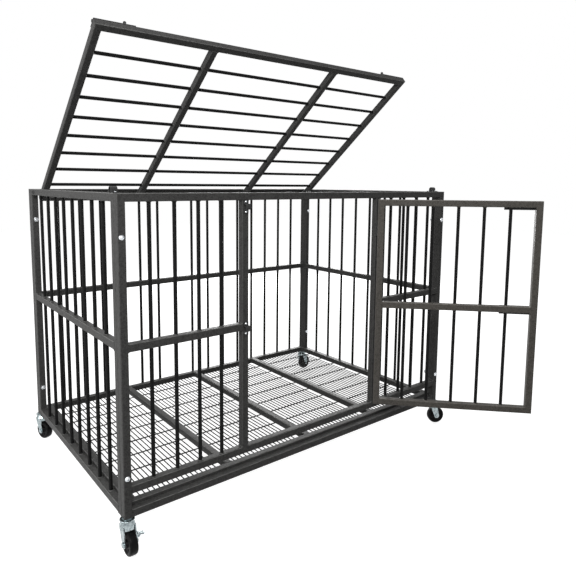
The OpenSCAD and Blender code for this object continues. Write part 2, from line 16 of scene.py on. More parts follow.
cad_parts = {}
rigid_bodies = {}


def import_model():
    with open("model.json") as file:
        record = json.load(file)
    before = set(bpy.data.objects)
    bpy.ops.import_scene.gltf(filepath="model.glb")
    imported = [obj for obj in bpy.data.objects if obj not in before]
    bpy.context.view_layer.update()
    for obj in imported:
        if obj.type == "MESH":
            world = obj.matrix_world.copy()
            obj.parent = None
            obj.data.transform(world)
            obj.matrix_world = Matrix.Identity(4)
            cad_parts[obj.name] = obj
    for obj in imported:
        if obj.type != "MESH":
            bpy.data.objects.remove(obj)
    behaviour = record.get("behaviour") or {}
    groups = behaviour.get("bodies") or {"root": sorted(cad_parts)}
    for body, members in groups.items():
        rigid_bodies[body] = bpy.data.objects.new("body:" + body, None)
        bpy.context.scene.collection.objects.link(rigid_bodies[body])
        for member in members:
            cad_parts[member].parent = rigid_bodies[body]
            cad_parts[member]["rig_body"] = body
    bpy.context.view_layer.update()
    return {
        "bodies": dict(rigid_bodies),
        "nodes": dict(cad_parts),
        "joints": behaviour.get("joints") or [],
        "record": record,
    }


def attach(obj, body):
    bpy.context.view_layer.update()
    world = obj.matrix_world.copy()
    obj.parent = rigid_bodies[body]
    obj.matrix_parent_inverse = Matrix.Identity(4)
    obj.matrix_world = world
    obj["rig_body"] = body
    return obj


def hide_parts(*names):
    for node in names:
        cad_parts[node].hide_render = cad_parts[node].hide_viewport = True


Colour = tuple[float, float, float]
Triple = tuple[float, float, float]
Span = tuple[float, float]
Socket = bpy.types.NodeSocket
LOG = logging.getLogger("crate")
WHITE = (1.0, 1.0, 1.0, 1.0)
FULL_TURN = 2.0 * math.pi
SIXTH_TURN = math.pi / 3.0
HALF_SIXTH = math.pi / 6.0
MERGE_WITHIN = 1e-6
SHARP_FROM = math.radians(38.0)


class Signal:
    """A socket's value, so that shader maths reads as a Python expression."""

    def __init__(self, graph: "Graph", socket: Socket) -> None:
        """Keep the socket and the graph that it belongs to."""
        self.graph = graph
        self.socket = socket

    def _math(self, operation: str, first: "Signal | float", second: "Signal | float") -> "Signal":
        """Add one Math node and return its value."""
        node = self.graph.add("ShaderNodeMath", {"operation": operation}, {0: first, 1: second})
        return Signal(self.graph, node.outputs[0])

    def __add__(self, other: "Signal | float") -> "Signal":
        """Sum."""
        return self._math("ADD", self, other)

    def __radd__(self, other: float) -> "Signal":
        """Sum with a number on the left."""
        return self._math("ADD", other, self)

    def __sub__(self, other: "Signal | float") -> "Signal":
        """Difference."""
        return self._math("SUBTRACT", self, other)

    def __rsub__(self, other: float) -> "Signal":
        """Difference from a number on the left."""
        return self._math("SUBTRACT", other, self)

    def __mul__(self, other: "Signal | float") -> "Signal":
        """Product."""
        return self._math("MULTIPLY", self, other)

    def __rmul__(self, other: float) -> "Signal":
        """Product with a number on the left."""
        return self._math("MULTIPLY", other, self)

    def __abs__(self) -> "Signal":
        """Size without its sign."""
        return self._math("ABSOLUTE", self, 0.0)

    def larger(self, other: "Signal | float") -> "Signal":
        """The larger of two values."""
        return self._math("MAXIMUM", self, other)

    def ramp(self, low: float, high: float) -> "Signal":
        """Smooth step that is 0 below low and 1 above high."""
        node = self.graph.add(
            "ShaderNodeMapRange",
            {"interpolation_type": "SMOOTHSTEP"},
            {"Value": self, "From Min": low, "From Max": high},
        )
        return Signal(self.graph, node.outputs["Result"])


class Graph:
    """The node tree of one material or world."""

    def __init__(self, tree: bpy.types.NodeTree) -> None:
        """Start from an empty tree."""
        self.tree = tree
        tree.nodes.clear()

    def add(self, kind: str, settings: dict | None = None, inputs: dict | None = None) -> bpy.types.Node:
        """Add a node, set its choices first and then its sockets.

        Args:
            kind: The node's type.
            settings: Choices such as a Math node's operation.
            inputs: Value, Signal or socket for each input, by name or number.

        Returns:
            The new node.
        """
        node = self.tree.nodes.new(kind)
        for key, value in (settings or {}).items():
            setattr(node, key, value)
        for key, value in (inputs or {}).items():
            if isinstance(value, Signal):
                self.tree.links.new(value.socket, node.inputs[key])
            elif isinstance(value, Socket):
                self.tree.links.new(value, node.inputs[key])
            else:
                node.inputs[key].default_value = value
        return node

    def noise(self, place: Socket, scale: float, detail: float = 2.0, twist: float = 0.0) -> Signal:
        """Cloudy pattern from 0 to 1 with about this many features to the metre."""
        node = self.add(
            "ShaderNodeTexNoise",
            None,
            {"Vector": place, "Scale": scale, "Detail": detail, "Distortion": twist},
        )
        return Signal(self, node.outputs["Fac"])

    def mix_colour(self, share: Signal, first: Colour | Socket, second: Colour) -> Socket:
        """Colour between two colours, the first of which may be a socket."""
        start = first if isinstance(first, Socket) else (*first, 1.0)
        node = self.add(
            "ShaderNodeMix",
            {"data_type": "RGBA", "clamp_factor": True},
            {0: share, 6: start, 7: (*second, 1.0)},
        )
        return node.outputs[2]

    def bump(self, height: Signal, depth: float, strength: float) -> Socket:
        """Normal that is tilted by a height pattern, depth in metres."""
        node = self.add(
            "ShaderNodeBump",
            None,
            {"Height": height, "Distance": depth, "Strength": strength},
        )
        return node.outputs["Normal"]


class Hinged(Enum):
    """The turned pose that a pattern follows: the axis and the hinge that sets the angle."""

    FIXED = (None, None)
    LID = ("X_AXIS", "lid_hinge")
    DOOR = ("Z_AXIS", "door_hinge")


@dataclass(frozen=True)
class Finish:
    """A surface finish that makes one material for each pose it is used in."""

    name: str

    def coordinates(self, graph: Graph, turn: float, axis: str | None) -> tuple:
        """Object place and normal, turned back to the closed pose.

        Args:
            graph: Graph that gets the nodes.
            turn: Angle of the open lid or door.
            axis: Axis of that angle, or None for what stands still.

        Returns:
            Place socket and normal socket.
        """
        source = graph.add("ShaderNodeTexCoord")
        place = source.outputs["Object"]
        normal = source.outputs["Normal"]
        if axis is None:
            return place, normal
        turned = [
            graph.add("ShaderNodeVectorRotate", {"rotation_type": axis}, {"Vector": v, "Angle": turn})
            for v in (place, normal)
        ]
        return turned[0].outputs[0], turned[1].outputs[0]

    def shade(self, graph: Graph, place: Socket, normal: Socket) -> dict:
        """Sockets of the surface shader; each finish writes its own."""
        raise NotImplementedError

    def material(self, pose: Hinged, angles: dict[str, float]) -> bpy.types.Material:
        """Make the material, or return the one already made.

        Args:
            pose: What the piece rides on.
            angles: Closing angle of each hinge.

        Returns:
            The finished material.
        """
        title = f"{self.name}_{pose.name.lower()}"
        known = bpy.data.materials.get(title)
        if known is not None:
            return known
        made = bpy.data.materials.new(title)
        made.use_nodes = True
        graph = Graph(made.node_tree)
        axis, hinge = pose.value
        place, normal = self.coordinates(graph, angles.get(hinge, 0.0), axis)
        shader = graph.add("ShaderNodeBsdfPrincipled", None, self.shade(graph, place, normal))
        graph.add("ShaderNodeOutputMaterial", None, {"Surface": shader.outputs[0]})
        return made


@dataclass(frozen=True)
class VeinCoat(Finish):
    """Textured powder coat: a dark ground with pale veins and, on square tube, paler edges that are partly
    worn paint and partly painted highlight.

    Scales are features to the metre. Shares weigh the patterns that lead from ground to vein, and
    swings say how far a pattern moves the roughness.
    """

    ground: Colour
    vein: Colour
    worn_and_highlit: Colour = (0.110, 0.110, 0.110)
    rough: float = 0.46
    gloss: float = 0.35
    square: bool = True
    cloud_scale: float = 14.0
    grain_scale: float = 420.0
    flow_scale: float = 130.0
    flow_twist: float = 0.8
    patch_scale: float = 60.0
    vein_ridge: Span = (0.72, 1.0)
    vein_share: float = 0.4
    cloud_share: float = 0.35
    least_share: float = 0.04
    grain_share: float = 0.3
    edge_lean: Span = (0.03, 0.2)
    patch_edge: Span = (0.35, 0.65)
    patch_least: float = 0.5
    # Upper edges carry the painted highlight.
    upper_edge: Span = (0.2, 0.6)
    lower_wear: float = 0.2
    most_worn_highlit: float = 0.8
    grain_swing: float = 0.25
    cloud_swing: float = 0.2
    bump_grain: float = 0.4
    bump_depth: float = 0.0004
    bump_strength: float = 0.35

    def worn_highlit_share(self, graph: Graph, place: Socket, normal: Socket) -> Signal:
        """Share of worn edge and painted highlight: where the normal leans away from all three axes, in
        patches, and most on upper edges, where the painted highlight stands in for light from above.
        """
        parts = graph.add("ShaderNodeSeparateXYZ", None, {0: normal})
        ways = [Signal(graph, parts.outputs[i]) for i in range(3)]
        lean = 1.0 - abs(ways[0]).larger(abs(ways[1])).larger(abs(ways[2]))
        spots = graph.noise(place, self.patch_scale, 3.0).ramp(*self.patch_edge)
        patch = self.patch_least + (1.0 - self.patch_least) * spots
        # Upper edges weigh most: painted highlight, as if lit from above.
        upper = self.lower_wear + (1.0 - self.lower_wear) * ways[2].ramp(*self.upper_edge)
        return lean.ramp(*self.edge_lean) * patch * upper * self.most_worn_highlit

    def shade(self, graph: Graph, place: Socket, normal: Socket) -> dict:
        """Veins are a ridged noise over a cloudy one, with fine grain."""
        cloud = graph.noise(place, self.cloud_scale, 3.0)
        grain = graph.noise(place, self.grain_scale)
        flow = graph.noise(place, self.flow_scale, twist=self.flow_twist)
        vein = (1.0 - abs(flow * 2.0 - 1.0)).ramp(*self.vein_ridge)
        shade = vein * self.vein_share + cloud * self.cloud_share + self.least_share
        shade = shade + (grain - 0.5) * self.grain_share
        colour = graph.mix_colour(shade, self.ground, self.vein)
        if self.square:
            # Paler edges: partly worn paint, partly painted highlight.
            colour = graph.mix_colour(self.worn_highlit_share(graph, place, normal), colour, self.worn_and_highlit)
        rough = self.rough + (grain - 0.5) * self.grain_swing + (cloud - 0.5) * self.cloud_swing
        height = flow + grain * self.bump_grain
        return {
            "Base Color": colour,
            "Roughness": rough,
            "Specular IOR Level": self.gloss,
            "Normal": graph.bump(height, self.bump_depth, self.bump_strength),
        }


@dataclass(frozen=True)
class ZincPlate(Finish):
    """Bright plated steel with dull patches and fine handling marks."""

    bright: Colour = (0.72, 0.74, 0.76)
    dull: Colour = (0.42, 0.44, 0.46)
    rough: float = 0.26
    patch_scale: float = 170.0
    grain_scale: float = 1300.0
    patch_edge: Span = (0.3, 0.75)
    patch_swing: float = 0.2
    grain_swing: float = 0.15
    bump_depth: float = 0.0001
    bump_strength: float = 0.2

    def shade(self, graph: Graph, place: Socket, normal: Socket) -> dict:
        """Patches a few millimetres across set the tone; finer grain sets the roughness."""
        patch = graph.noise(place, self.patch_scale, 3.0)
        grain = graph.noise(place, self.grain_scale)
        return {
            "Base Color": graph.mix_colour(patch.ramp(*self.patch_edge), self.bright, self.dull),
            "Metallic": 1.0,
            "Roughness": self.rough + (patch - 0.5) * self.patch_swing + (grain - 0.5) * self.grain_swing,
            "Normal": graph.bump(grain, self.bump_depth, self.bump_strength),
        }


@dataclass(frozen=True)
class WheelRubber(Finish):
    """Hard black wheel compound, faintly scuffed."""

    ground: Colour = (0.0035, 0.0035, 0.0038)
    scuffed: Colour = (0.010, 0.0098, 0.0095)
    rough: float = 0.38
    gloss: float = 0.08
    cloud_scale: float = 90.0
    grain_scale: float = 1600.0
    scuff_edge: Span = (0.52, 0.72)
    scuff_swing: float = 0.2
    grain_swing: float = 0.15
    bump_depth: float = 0.00012
    bump_strength: float = 0.25

    def shade(self, graph: Graph, place: Socket, normal: Socket) -> dict:
        """Scuffs are the peaks of a cloudy pattern."""
        cloud = graph.noise(place, self.cloud_scale, 4.0)
        grain = graph.noise(place, self.grain_scale)
        scuff = cloud.ramp(*self.scuff_edge)
        return {
            "Base Color": graph.mix_colour(scuff, self.ground, self.scuffed),
            "Roughness": self.rough + scuff * self.scuff_swing + (grain - 0.5) * self.grain_swing,
            "Specular IOR Level": self.gloss,
            "Normal": graph.bump(grain, self.bump_depth, self.bump_strength),
        }


@dataclass(frozen=True)
class Surface:
    """Points on a grid: rows run along a profile and columns run round a closed path."""

    points: np.ndarray
    rows_closed: bool = False

    def faces(self) -> np.ndarray:
        """Quads between neighbouring rows and neighbouring columns."""
        rows, columns = self.points.shape[:2]
        index = np.arange(rows * columns).reshape(rows, columns)
        ahead = np.roll(index, -1, axis=1)
        last = rows if self.rows_closed else rows - 1
        above = np.roll(index, -1, axis=0)
        above_ahead = np.roll(ahead, -1, axis=0)
        quads = np.stack((index, ahead, above_ahead, above), axis=-1)
        return quads[:last].reshape(-1, 4)

    def copies(self, places: np.ndarray) -> tuple[np.ndarray, np.ndarray]:
        """Repeat the surface under each placing matrix.

        Args:
            places: One 4 by 4 matrix for each copy.

        Returns:
            All corners and all quads.
        """
        flat = self.points.reshape(-1, 3)
        corners = np.einsum("kij,nj->kni", places[:, :3, :3], flat) + places[:, None, :3, 3]
        steps = np.arange(len(places))[:, None, None] * len(flat)
        return corners.reshape(-1, 3), (self.faces()[None] + steps).reshape(-1, 4)


def round_steps(count: int) -> np.ndarray:
    """Angles of this many equal steps round a circle."""
    return np.linspace(0.0, FULL_TURN, count, endpoint=False)


def revolve(radius: np.ndarray, height: np.ndarray, columns: int, rows_closed: bool = False) -> Surface:
    """Turn a profile about Z.

    A point stands at radius times (cos, sin) of its column's angle, at its own height.

    Args:
        radius: Radius of each row, or of each row and column.
        height: Height of each row, or of each row and column.
        columns: Steps round the axis.
        rows_closed: True where the last row joins the first.

    Returns:
        The turned surface.
    """
    angle = round_steps(columns)
    wide = np.broadcast_to(radius if radius.ndim == 2 else radius[:, None], (len(radius), columns))
    tall = np.broadcast_to(height if height.ndim == 2 else height[:, None], (len(radius), columns))
    return Surface(np.stack((wide * np.cos(angle), wide * np.sin(angle), tall), axis=-1), rows_closed)


def hexagon(apothem: float, columns: int) -> np.ndarray:
    """Radius of a hexagon at each angle: apothem over the cosine of the angle from the nearest flat."""
    angle = round_steps(columns)
    return apothem / np.cos(np.mod(angle, SIXTH_TURN) - HALF_SIXTH)


def placing(origins: np.ndarray, ahead: np.ndarray, side: np.ndarray) -> np.ndarray:
    """Matrices whose Z runs ahead and whose X runs sideways.

    Args:
        origins: Place of each copy.
        ahead: Unit direction that Z takes at each copy.
        side: Unit direction that X takes at each copy.

    Returns:
        One 4 by 4 matrix for each copy.
    """
    places = np.zeros((len(origins), 4, 4))
    places[:, :3, 0] = side
    places[:, :3, 1] = np.cross(ahead, side)
    places[:, :3, 2] = ahead
    places[:, :3, 3] = origins
    places[:, 3, 3] = 1.0
    return places


@dataclass(frozen=True)
class Bolt:
    """Button-head bolt: its head at Z = 0 faces -Z and its shank runs to +Z."""

    shank: float = 0.004
    head: float = 0.007
    rise: float = 0.0045
    socket: float = 0.0025
    socket_depth: float = 0.0028
    chamfer: float = 0.0007
    groove: float = 0.0004
    thread: float = 0.0045
    thread_rows: int = 15
    dome_rows: int = 8
    dome_end: float = 1.4
    columns: int = 36

    def crown(self, radius: np.ndarray) -> np.ndarray:
        """Height of the round head over a radius: a cap of the ball through its rim and its top."""
        ball = (self.head**2 + self.rise**2) / (2.0 * self.rise)
        return ball - self.rise - np.sqrt(ball**2 - radius**2)

    def surface(self, length: float) -> Surface:
        """Tip, ringed thread, plain shank, round head and hexagon socket as one turned profile."""
        end = length - self.chamfer
        turns = np.linspace(end, end - self.thread, self.thread_rows)
        ridge = self.shank - self.groove * (np.arange(self.thread_rows) % 2)
        dome = np.linspace(self.head, self.socket * self.dome_end, self.dome_rows)
        radius = np.concatenate(([0.0, self.shank - self.chamfer], ridge, [self.shank, self.shank], dome))
        height = np.concatenate(([length, length], turns, [turns[-1], 0.0], self.crown(dome)))
        wide = np.repeat(radius[:, None], self.columns, axis=1)
        tall = np.repeat(height[:, None], self.columns, axis=1)
        rim = hexagon(self.socket, self.columns)
        floor = np.full(self.columns, self.socket_depth - self.rise)
        wide = np.vstack((wide, rim, rim, np.zeros(self.columns)))
        tall = np.vstack((tall, self.crown(rim), floor, floor))
        return revolve(wide, tall, self.columns)


@dataclass(frozen=True)
class Nut:
    """Hexagon nut on Z with both faces chamfered."""

    corner: float = 0.0075
    bore: float = 0.00405
    rise: float = 0.006
    lead: float = 0.0004
    face: float = 0.96
    columns: int = 48

    def surface(self, foot: float) -> Surface:
        """The faces end in a circle, from which a 30 degree cone falls away to the corners."""
        apothem = self.corner * math.cos(HALF_SIXTH)
        side = hexagon(apothem, self.columns)
        ring = np.ones(self.columns)
        drop = (side - apothem * self.face) * math.tan(HALF_SIXTH)
        wide = [self.bore * ring, (self.bore + self.lead) * ring, apothem * self.face * ring, side]
        tall = [self.lead * ring, 0.0 * ring, 0.0 * ring, drop]
        wide = np.array(wide + wide[::-1])
        tall = np.array(tall + [self.rise - row for row in tall[::-1]])
        return revolve(wide, tall + foot, self.columns, rows_closed=True)


@dataclass(frozen=True)
class Screw:
    """Round-head screw with a cross recess, standing on Z = 0."""

    shank: float = 0.002
    head: float = 0.0033
    rise: float = 0.0018
    plate: float = 0.002
    arm: float = 0.0019
    slot: float = 0.0006
    depth: float = 0.0011
    slot_slope: float = 0.4
    arm_slope: float = 0.3
    rows: int = 14
    columns: int = 48

    def surface(self) -> Surface:
        """A ball's cap over the head, sunk where the angle and the radius lie inside the cross."""
        ball = (self.head**2 + self.rise**2) / (2.0 * self.rise)
        radius = np.linspace(0.0, self.head, self.rows)[:, None]
        angle = round_steps(self.columns)[None, :]
        dome = np.sqrt(ball**2 - radius**2) - ball + self.rise
        off = radius * np.minimum(abs(np.cos(angle)), abs(np.sin(angle)))
        inside = np.clip((self.slot - off) / (self.slot_slope * self.slot), 0.0, 1.0)
        inside = inside * np.clip((self.arm - radius) / (self.arm_slope * self.arm), 0.0, 1.0)
        top = np.minimum(dome, self.rise) - self.depth * inside + self.plate
        ring = np.ones((1, self.columns))
        wide = np.vstack((radius * ring, self.shank * ring, self.shank * ring, 0.0 * ring))
        tall = np.vstack((top * ring, self.plate * ring, 0.0 * ring, 0.0 * ring))
        return revolve(wide, tall, self.columns)


@dataclass(frozen=True)
class BarWeld:
    """Small fillet round the end of a bar, with Z along the bar from the rail."""

    bar: float = 0.005
    leg: float = 0.0022
    sink: float = 0.0003
    bulge: Span = (0.68, 0.62)
    columns: int = 12

    def surface(self) -> Surface:
        """A four-cornered profile, bulging between the rail and the bar, turned about the bar."""
        out, up = self.bulge
        radius = self.bar + np.array([-self.sink, self.leg, out * self.leg, -self.sink])
        height = np.array([-self.sink, -self.sink, up * self.leg, self.leg])
        return revolve(radius, height, self.columns, rows_closed=True)


@dataclass(frozen=True)
class TubeWeld:
    """Bead round the end of a square tube, with Z along the tube and X square to the panel."""

    half: float = 0.010
    proud: float = 0.0005
    leg: float = 0.0026
    sink: float = 0.0006
    power: float = 9.0
    full_gain: float = 2.0
    full_from: float = 0.5
    ripple: float = 0.12
    ripples: float = 11.0
    bulge: Span = (0.9, 0.62)
    rise: tuple[float, float, float, float] = (-0.45, -0.35, 0.5, 0.9)
    columns: int = 32

    def surface(self) -> Surface:
        """A closed bead on a rounded square path, flat on the panel's faces and full in the corners.

        The path is a superellipse. The bead's width blends from proud to leg with the square of the
        path direction's Y part.
        """
        angle = round_steps(self.columns)
        cosine, sine = np.cos(angle), np.sin(angle)
        reach = (abs(cosine) ** self.power + abs(sine) ** self.power) ** (-1.0 / self.power)
        full = np.clip(self.full_gain * sine**2 - self.full_from, 0.0, 1.0)
        width = self.proud + (self.leg - self.proud) * full
        ripple = 1.0 + self.ripple * np.cos(angle * self.ripples)
        under = -self.sink / self.leg
        across = np.array([under, *self.bulge, under])[:, None]
        along = np.array(self.rise)[:, None] * self.leg * ripple[None, :]
        radius = (self.half + across * width[None, :]) * reach[None, :]
        return revolve(radius, along, self.columns, rows_closed=True)


@dataclass(frozen=True)
class Wheel:
    """Moulded caster wheel turned about Z, with a crowned tread and five shallow pockets in each side."""

    bore: float = 0.00405
    hub: float = 0.009
    hub_half: float = 0.0135
    hub_edge: float = 0.0008
    hub_wall: tuple[Span, ...] = ((0.0094, 0.0100), (0.0102, 0.0084))
    web: float = 0.0076
    web_radii: tuple[float, ...] = (0.0118, 0.0138, 0.0158, 0.0176, 0.0192)
    rim: tuple[Span, ...] = (
        (0.0207, 0.0082), (0.0216, 0.0100), (0.0226, 0.0108),
        (0.0242, 0.0110), (0.0250, 0.0109), (0.0253, 0.0106),
    )
    crown: tuple[Span, ...] = (
        (0.0270, 0.0105), (0.0284, 0.0098), (0.0293, 0.0084), (0.0298, 0.0062), (0.0300, 0.0030),
    )
    pocket: float = 0.0022
    pockets: int = 5
    pocket_share: float = 0.5
    pocket_slope: float = 1.6
    pocket_middle: float = 0.0157
    pocket_reach: float = 0.0028
    columns: int = 80

    def profile(self) -> np.ndarray:
        """Radius and height of each row of one side, from the bore over hub, web and rim to the tread."""
        hub = (
            (self.bore, self.hub_half),
            (self.hub - self.hub_edge, self.hub_half),
            (self.hub, self.hub_half - self.hub_edge),
        )
        web = tuple((radius, self.web) for radius in self.web_radii)
        return np.array(hub + self.hub_wall + web + self.rim + self.crown)

    def surface(self) -> Surface:
        """One side's profile and then its mirror image, with lobes round the axis that dip the web."""
        radius, height = self.profile().T
        angle = round_steps(self.columns)
        lobe = np.clip(self.pocket_share + self.pocket_slope * np.cos(self.pockets * angle), 0.0, 1.0)
        middle = np.exp(-(((radius - self.pocket_middle) / self.pocket_reach) ** 4))
        side = height[:, None] - self.pocket * middle[:, None] * lobe[None, :]
        wide = np.repeat(radius[:, None], self.columns, axis=1)
        wide = np.vstack((wide, wide[::-1]))
        tall = np.vstack((side, -side[::-1]))
        return revolve(wide, tall, self.columns, rows_closed=True)


@dataclass(frozen=True)
class RaceRing:
    """Rolled lip round the swivel bearing of a caster, about Z."""

    radius: float = 0.0168
    lip: float = 0.0016
    rows: int = 10
    columns: int = 40

    def surface(self, level: float) -> Surface:
        """A small circle carried round the swivel axis."""
        angle = round_steps(self.rows)
        radius = self.radius + self.lip * np.cos(angle)
        height = level + self.lip * np.sin(angle)
        return revolve(radius, height, self.columns, rows_closed=True)


@dataclass(frozen=True)
class PhotoCamera:
    """The picture's camera, worked out from its vanishing lines."""

    place: Triple = (-1.0714, -1.5744, 0.8934)
    yaw: float = 0.6653
    pitch: float = 0.1109
    roll: float = -0.008
    focal: float = 541.55
    centre: Span = (280.53, 244.18)
    frame: float = 576.0
    sensor: float = 36.0

    def build(self) -> None:
        """Make the scene's camera from yaw, pitch and roll; the picture's centre becomes the shift."""
        data = bpy.data.cameras.new("photo_camera")
        data.sensor_width = self.sensor
        data.lens = self.focal / self.frame * self.sensor
        data.shift_x = (self.frame / 2 - self.centre[0]) / self.frame
        data.shift_y = (self.centre[1] - self.frame / 2) / self.frame
        ahead = Vector((
            math.sin(self.yaw) * math.cos(self.pitch),
            math.cos(self.yaw) * math.cos(self.pitch),
            -math.sin(self.pitch),
        ))
        right = Vector((math.cos(self.yaw), -math.sin(self.yaw), 0.0))
        down = ahead.cross(right)
        rolled = math.cos(self.roll) * right + math.sin(self.roll) * down
        up = math.sin(self.roll) * right - math.cos(self.roll) * down
        turn = Matrix((rolled, up, -ahead)).transposed().to_4x4()
        camera = bpy.data.objects.new("photo_camera", data)
        camera.matrix_world = Matrix.Translation(self.place) @ turn
        bpy.context.scene.collection.objects.link(camera)
        bpy.context.scene.camera = camera


@dataclass(frozen=True)
class SoftBox:
    """A square studio lamp that points at the middle of the crate."""

    name: str
    place: Triple
    side: float
    power: float
    aim: Triple = (0.0, 0.0, 0.5)

    def build(self) -> None:
        """Add the lamp, turned towards the crate's middle."""
        data = bpy.data.lights.new(self.name, "AREA")
        data.size = self.side
        data.energy = self.power
        lamp = bpy.data.objects.new(self.name, data)
        lamp.location = self.place
        lamp.visible_camera = False
        way = Vector(self.aim) - Vector(self.place)
        lamp.rotation_euler = way.to_track_quat("-Z", "Y").to_euler()
        bpy.context.scene.collection.objects.link(lamp)


@dataclass
class Studio:
    """White floor, white surroundings and soft lamps."""

    floor_half: float = 9.0
    floor_glow: float = 0.87
    floor_fade: Span = (0.9, 3.2)
    floor_white: float = 0.5
    floor_bounce: float = 0.15
    ambient: float = 0.09
    lamps: tuple[SoftBox, ...] = (
        SoftBox("left_lamp", (-1.9, -0.2, 1.2), 1.3, 19.0),
        SoftBox("front_lamp", (-1.4, -1.9, 1.8), 0.9, 39.0),
        SoftBox("top_lamp", (0.0, 0.9, 3.6), 2.6, 34.0),
        SoftBox("back_lamp", (2.2, 2.6, 1.2), 1.7, 92.0),
    )

    @staticmethod
    def seen(graph: Graph) -> Signal:
        """1 for rays from the camera, a reflection or clear glass, else 0."""
        rays = graph.add("ShaderNodeLightPath").outputs
        camera = Signal(graph, rays["Is Camera Ray"])
        glossy = Signal(graph, rays["Is Glossy Ray"])
        return camera.larger(glossy).larger(Signal(graph, rays["Is Transmission Ray"]))

    def build_floor(self) -> None:
        """A white sheet that glows to plain white where it is seen and still takes a soft shadow."""
        half = self.floor_half
        corners = [(-half, -half, 0.0), (half, -half, 0.0), (half, half, 0.0), (-half, half, 0.0)]
        mesh = bpy.data.meshes.new("studio_floor")
        mesh.from_pydata(corners, [], [(0, 1, 2, 3)])
        floor = bpy.data.objects.new("studio_floor", mesh)
        bpy.context.scene.collection.objects.link(floor)
        material = bpy.data.materials.new("studio_white")
        material.use_nodes = True
        graph = Graph(material.node_tree)
        seen = self.seen(graph)
        tone = self.floor_bounce + seen * (self.floor_white - self.floor_bounce)
        matt = graph.add("ShaderNodeBsdfDiffuse", None, {"Color": tone})
        place = graph.add("ShaderNodeTexCoord").outputs["Object"]
        reach = graph.add("ShaderNodeVectorMath", {"operation": "LENGTH"}, {0: place}).outputs["Value"]
        far = Signal(graph, reach).ramp(*self.floor_fade)
        level = self.floor_glow + far * (1.0 - self.floor_glow)
        glow = graph.add("ShaderNodeEmission", None, {"Color": seen * level, "Strength": 1.0})
        both = graph.add("ShaderNodeAddShader", None, {0: matt.outputs[0], 1: glow.outputs[0]})
        graph.add("ShaderNodeOutputMaterial", None, {"Surface": both.outputs[0]})
        mesh.materials.append(material)

    def build_world(self) -> None:
        """White where it is seen, a dimmer grey as light."""
        world = bpy.data.worlds.new("studio_world")
        bpy.context.scene.world = world
        world.use_nodes = True
        graph = Graph(world.node_tree)
        level = self.ambient + self.seen(graph) * (1.0 - self.ambient)
        sky = graph.add("ShaderNodeBackground", None, {"Color": WHITE, "Strength": level})
        graph.add("ShaderNodeOutputWorld", None, {"Surface": sky.outputs[0]})

    def build(self) -> None:
        """Floor, world, lamps and the plain view transform."""
        self.build_floor()
        self.build_world()
        for lamp in self.lamps:
            lamp.build()
        bpy.context.scene.view_settings.view_transform = "Standard"


TUBE = VeinCoat(
    "tube_coat",
    ground=(0.033, 0.0325, 0.032),
    vein=(0.086, 0.085, 0.083),
    # Edge colour of worn paint and painted highlight.
    worn_and_highlit=(0.22, 0.22, 0.215),
    rough=0.42,
    gloss=0.05,
)
# Paler, warmer copy of the tube coat for the door: painted light standing in for warmer, brighter light on
# the door.
LIT_DOOR_TUBE = VeinCoat(
    "lit_door_coat",
    ground=(0.052, 0.048, 0.043),
    vein=(0.130, 0.121, 0.109),
    # Edge colour of worn paint and painted highlight.
    worn_and_highlit=(0.28, 0.265, 0.245),
    rough=0.42,
    gloss=0.07,
)
BAR = VeinCoat(
    "bar_coat", (0.0055, 0.0055, 0.0055), (0.019, 0.019, 0.019), rough=0.5, gloss=0.04, square=False
)
HARDWARE = VeinCoat(
    "hardware_coat", (0.014, 0.014, 0.014), (0.045, 0.045, 0.045), gloss=0.2, square=False
)
PLATED = ZincPlate("fastener_plating")
CASTER = ZincPlate("caster_plating", (0.40, 0.455, 0.468), (0.17, 0.200, 0.210), 0.22)
RUBBER = WheelRubber("wheel_rubber")
X_WAY = np.array((1.0, 0.0, 0.0))
Y_WAY = np.array((0.0, 1.0, 0.0))
Z_WAY = np.array((0.0, 0.0, 1.0))
CORNERS = ("fl", "fr", "bl", "br")


@dataclass
class Places:
    """Placing matrices that gather for one repeated detail."""

    origins: list = field(default_factory=list)
    ahead: list = field(default_factory=list)
    side: list = field(default_factory=list)

    def put(self, origin: Triple, ahead: np.ndarray, side: np.ndarray) -> None:
        """Note one more place."""
        self.origins.append(origin)
        self.ahead.append(ahead)
        self.side.append(side)

    def pair(self, first: Triple, last: Triple, side: np.ndarray) -> None:
        """Note both ends of a straight piece, each looking along it."""
        way = np.subtract(last, first)
        way = way / np.linalg.norm(way)
        self.put(first, way, side)
        self.put(last, -way, side)

    def matrices(self) -> np.ndarray:
        """All places as 4 by 4 matrices."""
        return placing(np.array(self.origins), np.array(self.ahead), np.array(self.side))


